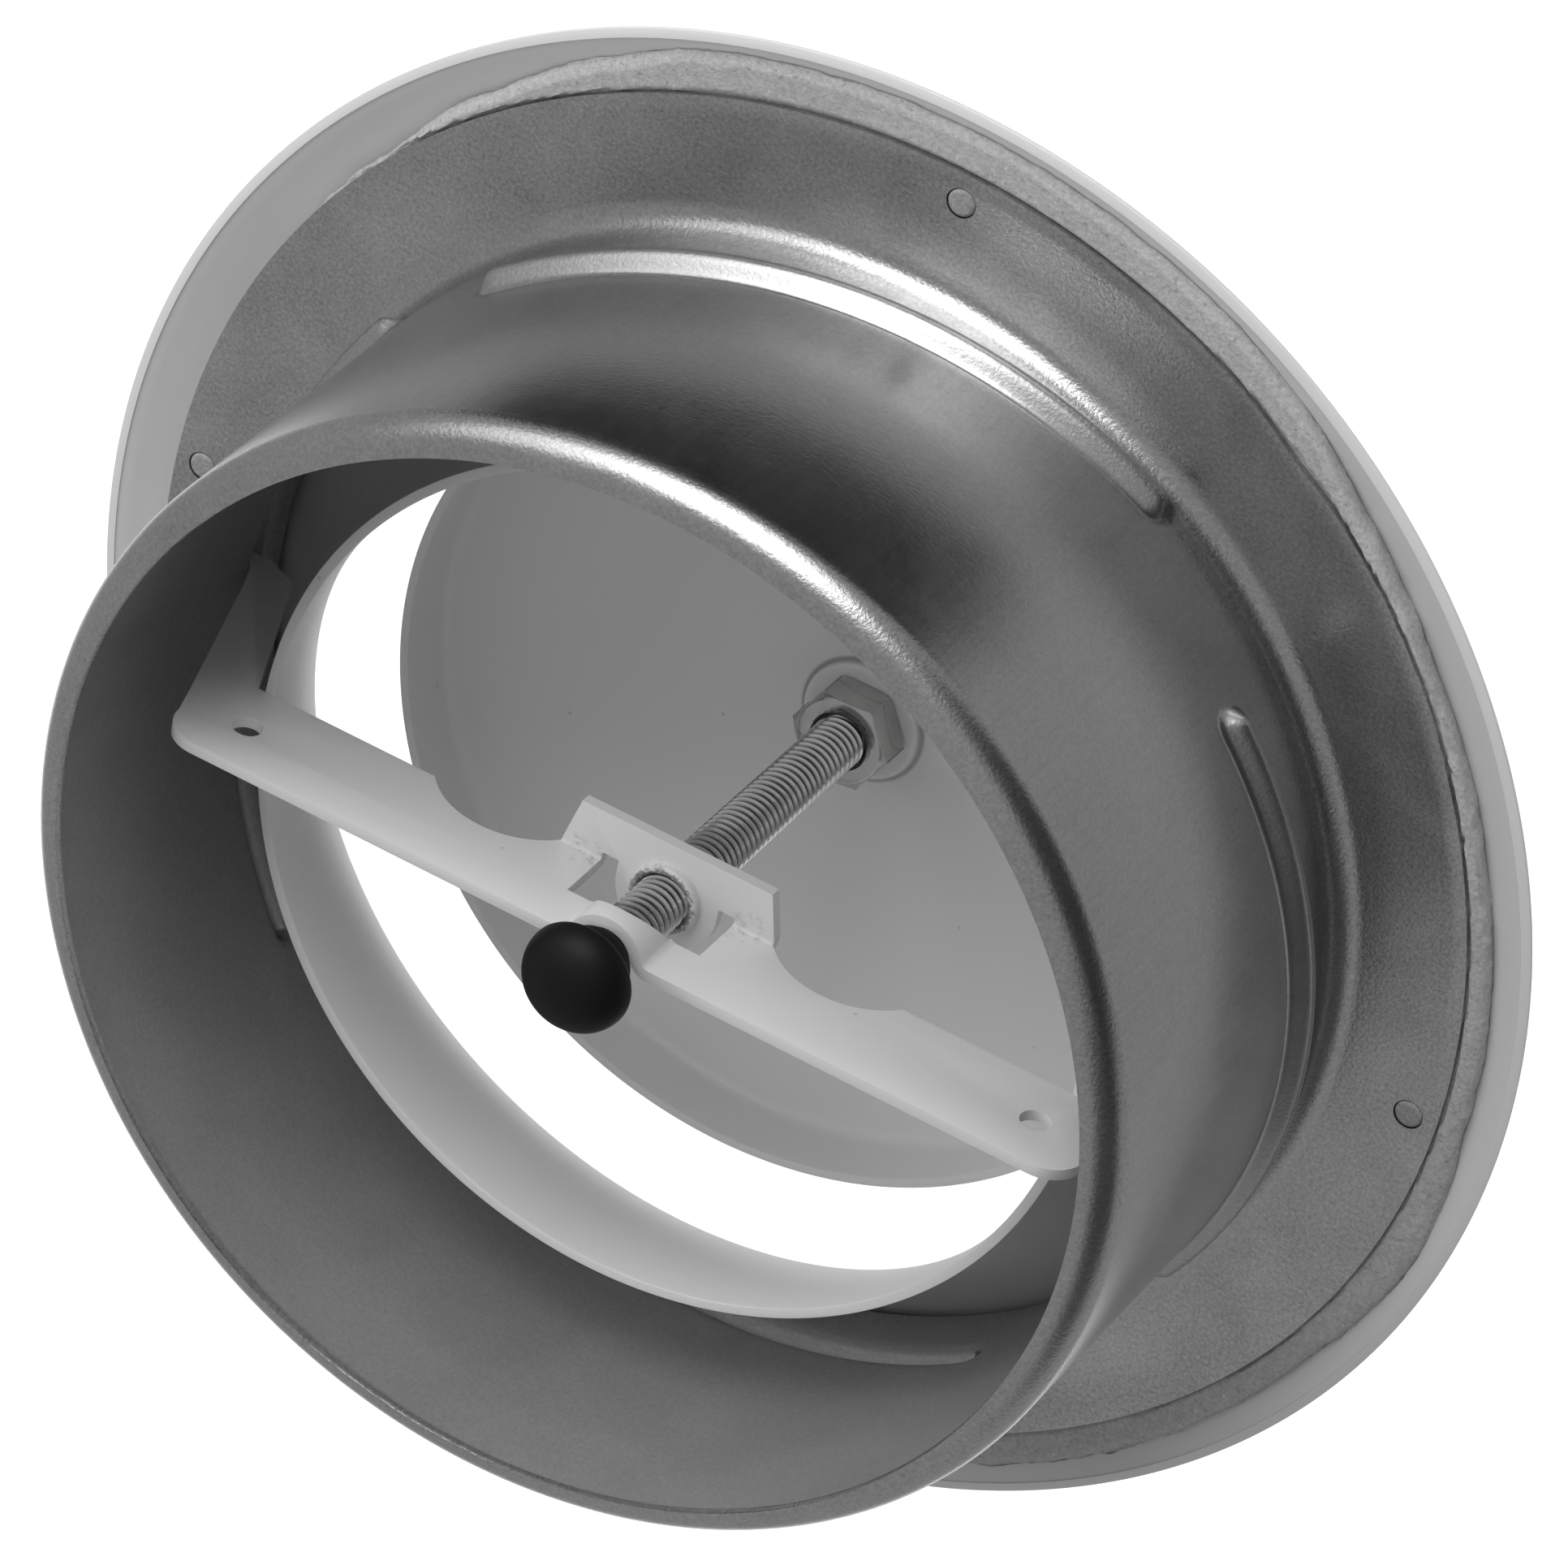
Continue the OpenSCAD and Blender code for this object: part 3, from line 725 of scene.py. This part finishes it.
def foam_edge(angle):
    """Radius of the foam's edge at an angle, in metres."""
    turn = degrees(turned(angle, radians(30)))
    for (low, first), (high, second) in zip(FOAM_EDGE, FOAM_EDGE[1:]):
        if low <= turn <= high:
            return (first + (second - first) * smooth_step((turn - low) / (high - low))) * MM
    return FOAM_EDGE[0][1] * MM


class VALVE_OT_gasket(Operator):
    """Make the squeezed foam gasket with its ragged edge and its bulges in the fixing holes."""
    bl_idname = "valve.gasket"
    bl_label = "Foam gasket"

    def execute(self, context):
        size = context.scene.valve_foam
        top = -COLLAR_T - 0.05 * MM
        bottom = top - size.thickness * MM
        edge = 81 * MM
        crest = top + size.swell * MM
        foam = Outline(size.inner_r * MM, top)
        foam.line(FLANGE_R - 0.6 * MM, top, 6)
        foam.line(FLANGE_R + 0.35 * MM, crest - 0.15 * MM, 3)
        foam.line(edge - 1.2 * MM, crest, 9)
        foam.line(edge - 0.3 * MM, crest - 0.45 * MM, 3)
        foam.line(edge, crest - 1.2 * MM, 3)
        foam.line(edge - 0.2 * MM, bottom + 1.2 * MM, 3)
        foam.line(edge - 1.5 * MM, bottom, 2)
        foam.line(size.inner_r * MM, bottom, 4)
        foam.close()
        gasket = foam.spin("gasket", 720)
        self.fray(gasket.data, size.inner_r * MM, edge)
        settle(gasket, radians(60))
        dress(gasket, gasket_foam, "gasket", "foam", "foam_gasket")
        bulges = self.bulges(size, context.scene.valve_collar.hole_angle)
        dress(bulges, gasket_foam, "gasket", "foam", "foam_gasket")
        return {"FINISHED"}

    @staticmethod
    def fray(mesh, inner, edge):
        """Gives each point of the ring the foam's own width there, with torn cells along the edge."""
        start = inner + 2 * MM
        for vert in mesh.vertices:
            radius = hypot(vert.co.x, vert.co.y)
            angle = atan2(vert.co.y, vert.co.x)
            torn = noise.noise(vert.co * 900) * 0.22 * MM + noise.noise(vert.co * 260) * 0.25 * MM
            if radius > start:
                share = (radius - start) / (edge - start)
                wanted = start + share * (foam_edge(angle) - start)
                wanted += torn * smooth_step((share - 0.75) * 4)
                inside = wanted < FLANGE_R + 0.25 * MM
                if inside:
                    vert.co.z = min(vert.co.z, -COLLAR_T - 0.05 * MM)
                vert.co.x *= wanted / radius
                vert.co.y *= wanted / radius
                vert.co.z = max(vert.co.z, tray_height(wanted))
            if vert.co.z > -COLLAR_T:
                vert.co.z += noise.noise(vert.co * 1300) * 0.05 * MM

    @staticmethod
    def bulges(size, first_angle):
        bm = bmesh.new()
        low, high = -COLLAR_T - 0.1 * MM, size.bulge * MM
        for i in range(HOLE_COUNT):
            spot = polar(HOLE_PCD_R, first_angle + i * tau / HOLE_COUNT, (low + high) / 2)
            bmesh.ops.create_cone(bm, cap_ends=True, segments=48, radius1=HOLE_R * 0.95,
                                  radius2=HOLE_R * 0.95, depth=high - low,
                                  matrix=Matrix.Translation(spot))
        top = [edge for edge in bm.edges if edge.is_manifold and edge.verts[0].co.z > 0
               and edge.verts[1].co.z > 0]
        bmesh.ops.bevel(bm, geom=top, offset=0.5 * MM, segments=6, profile=0.5, affect="EDGES")
        return settle(to_object(bm, "gasket_bulges"), radians(60))


def merged_copy(node, name):
    """A copy of a CAD node's mesh with its corners joined and its flat faces whole."""
    bm = bmesh.new()
    bm.from_mesh(frame["nodes"][node].data)
    bmesh.ops.remove_doubles(bm, verts=bm.verts, dist=2e-6)
    bmesh.ops.dissolve_limit(bm, angle_limit=radians(0.5), verts=bm.verts, edges=bm.edges)
    return to_object(bm, name)


class VALVE_OT_bridge(Operator):
    """Round the painted edges of the bridge."""
    bl_idname = "valve.bridge"
    bl_label = "Bridge"

    def execute(self, context):
        bridge = merged_copy("bridge", "bridge_sheet")
        round_edges(bridge, 0.32 * MM, 3, radians(35))
        settle(bridge, radians(40))
        dress(bridge, white_paint, "ring", "white_paint", "bridge")
        return {"FINISHED"}


class VALVE_OT_disc(Operator):
    """Spin the dished valve disc."""
    bl_idname = "valve.disc"
    bl_label = "Valve disc"

    def execute(self, context):
        size = context.scene.valve_painted
        thick, bend, pad = size.disc_t * MM, size.disc_bend_r * MM, size.pad_r * MM
        floor = size.disc_floor_z * MM
        pad_top = floor + size.pad_h * MM
        wall = DISC_R - thick
        slope = atan2(size.disc_rise * MM, wall - pad)
        bend_x = wall - bend
        bend_z = floor + (bend_x - pad) * sin(slope) / cos(slope) + bend / cos(slope)
        soft = 0.5 * MM
        sheet = Outline(SPINDLE_R - 0.2 * MM, pad_top)
        sheet.line(pad - soft, pad_top, 2)
        sheet.arc(pad - soft, pad_top - soft, -radians(80), 5)
        sheet.line(pad + 0.35 * MM, floor + 0.12 * MM, 1)
        sheet.line(pad + 1.1 * MM, floor + 0.16 * MM, 1)
        sheet.line(bend_x + bend * sin(slope), bend_z - bend * cos(slope), 24)
        sheet.arc(bend_x, bend_z, pi / 2 - slope, 8)
        sheet.line(wall, DISC_EDGE_Z, 4)
        disc = sheet.spin("disc", 300)
        flip_towards_axis(disc.data, DISC_EDGE_Z)
        add_modifier(disc, "SOLIDIFY", thickness=thick, offset=-1.0, use_even_offset=False)
        round_edges(disc, 0.38 * MM, 4, radians(60))
        settle(disc)
        dress(disc, white_paint, "disc", "white_paint", "valve_disc")
        return {"FINISHED"}


class VALVE_OT_spindle(Operator):
    """Spin the spindle's thread."""
    bl_idname = "valve.spindle"
    bl_label = "Spindle"

    def execute(self, context):
        size = context.scene.valve_thread
        pitch, depth = size.pitch * MM, size.depth * MM
        low, high = SPINDLE_Z
        bm = bmesh.new()
        turns = int((high - low) / pitch) + 3
        shape = [(0, 0.0), (0, 0.12), (1, 0.44), (1, 0.56), (0, 0.88)]
        chain = [bm.verts.new((SPINDLE_R - depth * (1 - crest), 0, low + (turn - 2 + part) * pitch))
                 for turn in range(turns) for crest, part in shape]
        edges = [bm.edges.new(pair) for pair in zip(chain, chain[1:])]
        bmesh.ops.spin(bm, geom=chain + edges, cent=(0, 0, 0), axis=(0, 0, 1), angle=tau,
                       steps=size.steps, dvec=(0, 0, pitch / size.steps), use_duplicate=False)
        bmesh.ops.remove_doubles(bm, verts=bm.verts, dist=2e-6)
        for z, away in ((low, -1), (high - 0.02 * MM, 1)):
            bmesh.ops.bisect_plane(bm, geom=bm.verts[:] + bm.edges[:] + bm.faces[:],
                                   plane_co=(0, 0, z), plane_no=(0, 0, away), clear_outer=True)
        bmesh.ops.holes_fill(bm, edges=bm.edges[:], sides=0)
        bmesh.ops.recalc_face_normals(bm, faces=bm.faces)
        spindle = settle(to_object(bm, "threaded_spindle"), radians(50))
        dress(spindle, bright_zinc, "disc", "zinc_thread", "spindle")
        return {"FINISHED"}


class VALVE_OT_nut(Operator):
    """Make the chamfered hexagon nut."""
    bl_idname = "valve.nut"
    bl_label = "Disc nut"

    def execute(self, context):
        low, high = NUT_Z
        corner = NUT_FLAT / cos(pi / 6)
        middle = Matrix.Translation((0, 0, (low + high) / 2)) @ Matrix.Rotation(pi / 2, 4, "Z")
        bm = bmesh.new()
        bmesh.ops.create_cone(bm, cap_ends=True, segments=6, radius1=corner, radius2=corner,
                              depth=high - low, matrix=middle)
        nut = to_object(bm, "nut")
        bevel = (corner - NUT_FLAT * 0.96) * 0.58
        cone = Outline(0, low)
        cone.line(NUT_FLAT * 0.96, low).line(corner, low + bevel).line(corner, high - bevel)
        cone.line(NUT_FLAT * 0.96, high).line(0, high)
        turned_blank = cone.spin("nut_blank", 120)
        bore = Outline(0, low - 1 * MM)
        bore.line(SPINDLE_R + 0.02 * MM, low - 1 * MM).line(SPINDLE_R + 0.02 * MM, high - 0.4 * MM)
        bore.line(SPINDLE_R + 0.6 * MM, high + 0.2 * MM).line(0, high + 0.2 * MM)
        drill = bore.spin("nut_drill", 72)
        cut(nut, turned_blank, "INTERSECT")
        cut(nut, drill)
        round_edges(nut, 0.1 * MM, 2, radians(25))
        settle(nut, radians(28))
        discard(turned_blank, drill)
        dress(nut, bright_zinc, "disc", "zinc_nut", "disc_nut")
        return {"FINISHED"}


class VALVE_OT_cap(Operator):
    """Spin the mushroom-shaped cap."""
    bl_idname = "valve.cap"
    bl_label = "End cap"

    def execute(self, context):
        low, high = CAP_Z
        barrel = 3.9 * MM
        head_z = low + 3.2 * MM
        rim = 0.6 * MM
        dome_h = high - head_z - rim
        cap = Outline(SPINDLE_R + 0.05 * MM, low)
        cap.line(barrel - 0.25 * MM, low)
        cap.arc(barrel - 0.25 * MM, low + 0.25 * MM, pi / 2, 4)
        cap.line(barrel, head_z - 0.7 * MM, 3)
        cap.arc(barrel + 0.7 * MM, head_z - 0.7 * MM, -pi / 2, 5)
        cap.line(CAP_R - rim, head_z, 2)
        cap.arc(CAP_R - rim, head_z + rim, pi / 2, 7)
        points = 28
        for i in range(1, points + 1):
            angle = pi / 2 * i / points
            cap.line(CAP_R * cos(angle), head_z + rim + dome_h * sin(angle))
        head = cap.spin("cap", 96)
        settle(head, radians(50))
        dress(head, black_plastic, "cap", "black_plastic", "end_cap")
        return {"FINISHED"}


# Stage

def studio_world(level):
    """An even studio with a darker side, which the camera sees as white."""
    world = bpy.context.scene.world or bpy.data.worlds.new("studio")
    bpy.context.scene.world = world
    g = Graph(world, "ShaderNodeOutputWorld")
    way = g.node("ShaderNodeTexCoord", output="Generated")

    def patch(azimuth, height, inner, outer):
        """1 around a direction, fading to 0 between two angles."""
        aim = polar(cos(radians(height)), radians(azimuth), sin(radians(height)))
        dot = g.node("ShaderNodeVectorMath", {"operation": "DOT_PRODUCT"},
                     {0: way, 1: aim}, output="Value")
        return g.step(dot, cos(radians(outer)), cos(radians(inner)))

    side_dark = patch(25, 2, 22, 44)
    low_dark = patch(112, -50, 27, 38)
    backdrop = patch(-118, -50, 20, 34)
    rear_dark = patch(-28, 20, 18, 38)
    lit = (level * (1 - side_dark * 0.86) * (1 - low_dark * 0.93) * (1 - rear_dark * 0.8)
           + backdrop * 1.05)
    studio = g.node("ShaderNodeBackground", sockets={"Strength": lit})
    white = g.node("ShaderNodeBackground", sockets={"Strength": 1.0})
    seen = g.node("ShaderNodeLightPath", output="Is Camera Ray")
    g.surface(g.node("ShaderNodeMixShader", sockets={0: seen, 1: studio, 2: white}))


def floor_material():
    """A white floor that the camera sees as paper white, less the object's soft shadow."""
    material, g = new_material("floor")
    diffuse = g.node("ShaderNodeBsdfDiffuse", sockets={"Color": (0.9, 0.9, 0.9, 1)})
    glow = g.node("ShaderNodeEmission", sockets={"Strength": 0.75})
    both = g.node("ShaderNodeAddShader", sockets={0: diffuse, 1: glow})
    seen = g.node("ShaderNodeLightPath", output="Is Camera Ray")
    g.surface(g.node("ShaderNodeMixShader", sockets={0: seen, 1: diffuse, 2: both}))
    return material


# Lamps that only lift the shadows: azimuth, height and watts
FILLS = [("fill_top", 115, 36, 1.0), ("fill_left", 160, 42, 2.2), ("fill_right", -15, 8, 1.3)]


def soft_lamp(name, azimuth, height, distance, width, tall, watts):
    data = bpy.data.lights.new(name, "AREA")
    data.shape = "ELLIPSE"
    data.size = width
    data.size_y = tall
    data.energy = watts
    lamp = bpy.data.objects.new(name, data)
    way = polar(cos(radians(height)), radians(azimuth), sin(radians(height)))
    lamp.location = way * distance
    lamp.rotation_euler = way.to_track_quat("Z", "Y").to_euler()
    bpy.context.scene.collection.objects.link(lamp)
    return lamp


class VALVE_OT_stage(Operator):
    """Set up the floor, the lamps and the camera."""
    bl_idname = "valve.stage"
    bl_label = "Stage"

    def execute(self, context):
        scene = context.scene
        size = scene.valve_stage
        scene.view_settings.view_transform = "Standard"
        studio_world(size.sky)
        bm = bmesh.new()
        bmesh.ops.create_circle(bm, cap_ends=True, segments=96, radius=6.0,
                                matrix=Matrix.Translation((0, 0, -size.floor_drop * MM)))
        floor = to_object(bm, "floor")
        floor.data.materials.append(floor_material())
        floor.visible_glossy = False
        soft_lamp("key", 99, 22, 1.1, 0.84, 0.95, size.key)
        soft_lamp("side", 132, 20, 1.1, 0.5, 0.85, size.key * 0.15)
        for name, azimuth, height, watts in FILLS:
            soft_lamp(name, azimuth, height, 1.2, 0.8, 0.8, watts).visible_glossy = False
        data = bpy.data.cameras.new("camera")
        data.lens = size.lens
        data.sensor_width = 36.0
        data.sensor_fit = "HORIZONTAL"
        data.clip_end = 20.0
        camera = bpy.data.objects.new("camera", data)
        camera.location = Vector(size.camera_place) * MM
        camera.rotation_euler = Euler([radians(a) for a in size.camera_turn])
        scene.collection.objects.link(camera)
        scene.camera = camera
        return {"FINISHED"}


class VALVE_PT_panel(Panel):
    """Lists the pieces of the valve and the sizes behind them."""
    bl_idname = "VALVE_PT_panel"
    bl_label = "Extract disc valve"
    bl_space_type = "VIEW_3D"
    bl_region_type = "UI"
    bl_category = "Valve"

    def draw(self, context):
        for operator in OPERATORS:
            self.layout.operator(operator.bl_idname)
        for name in SETTINGS:
            group = getattr(context.scene, name)
            for prop in group.bl_rna.properties:
                if prop.identifier not in {"rna_type", "name"}:
                    self.layout.prop(group, prop.identifier)


SETTINGS = {"valve_collar": CollarSettings, "valve_painted": PaintedSettings,
            "valve_foam": FoamSettings, "valve_thread": ThreadSettings,
            "valve_finish": FinishSettings, "valve_stage": StageSettings}
OPERATORS = [VALVE_OT_stage, VALVE_OT_collar, VALVE_OT_front_ring, VALVE_OT_gasket,
             VALVE_OT_bridge, VALVE_OT_disc, VALVE_OT_spindle, VALVE_OT_nut, VALVE_OT_cap]


def register():
    for cls in [*SETTINGS.values(), *OPERATORS, VALVE_PT_panel]:
        bpy.utils.register_class(cls)
    for name, cls in SETTINGS.items():
        setattr(bpy.types.Scene, name, PointerProperty(type=cls))


def unregister():
    for name in SETTINGS:
        delattr(bpy.types.Scene, name)
    for cls in reversed([*SETTINGS.values(), *OPERATORS, VALVE_PT_panel]):
        bpy.utils.unregister_class(cls)


def main():
    register()
    bpy.ops.valve.stage()
    bpy.ops.valve.collar()
    bpy.ops.valve.front_ring()
    bpy.ops.valve.gasket()
    bpy.ops.valve.bridge()
    bpy.ops.valve.disc()
    bpy.ops.valve.spindle()
    bpy.ops.valve.nut()
    bpy.ops.valve.cap()


if __name__ == "__main__":
    main()
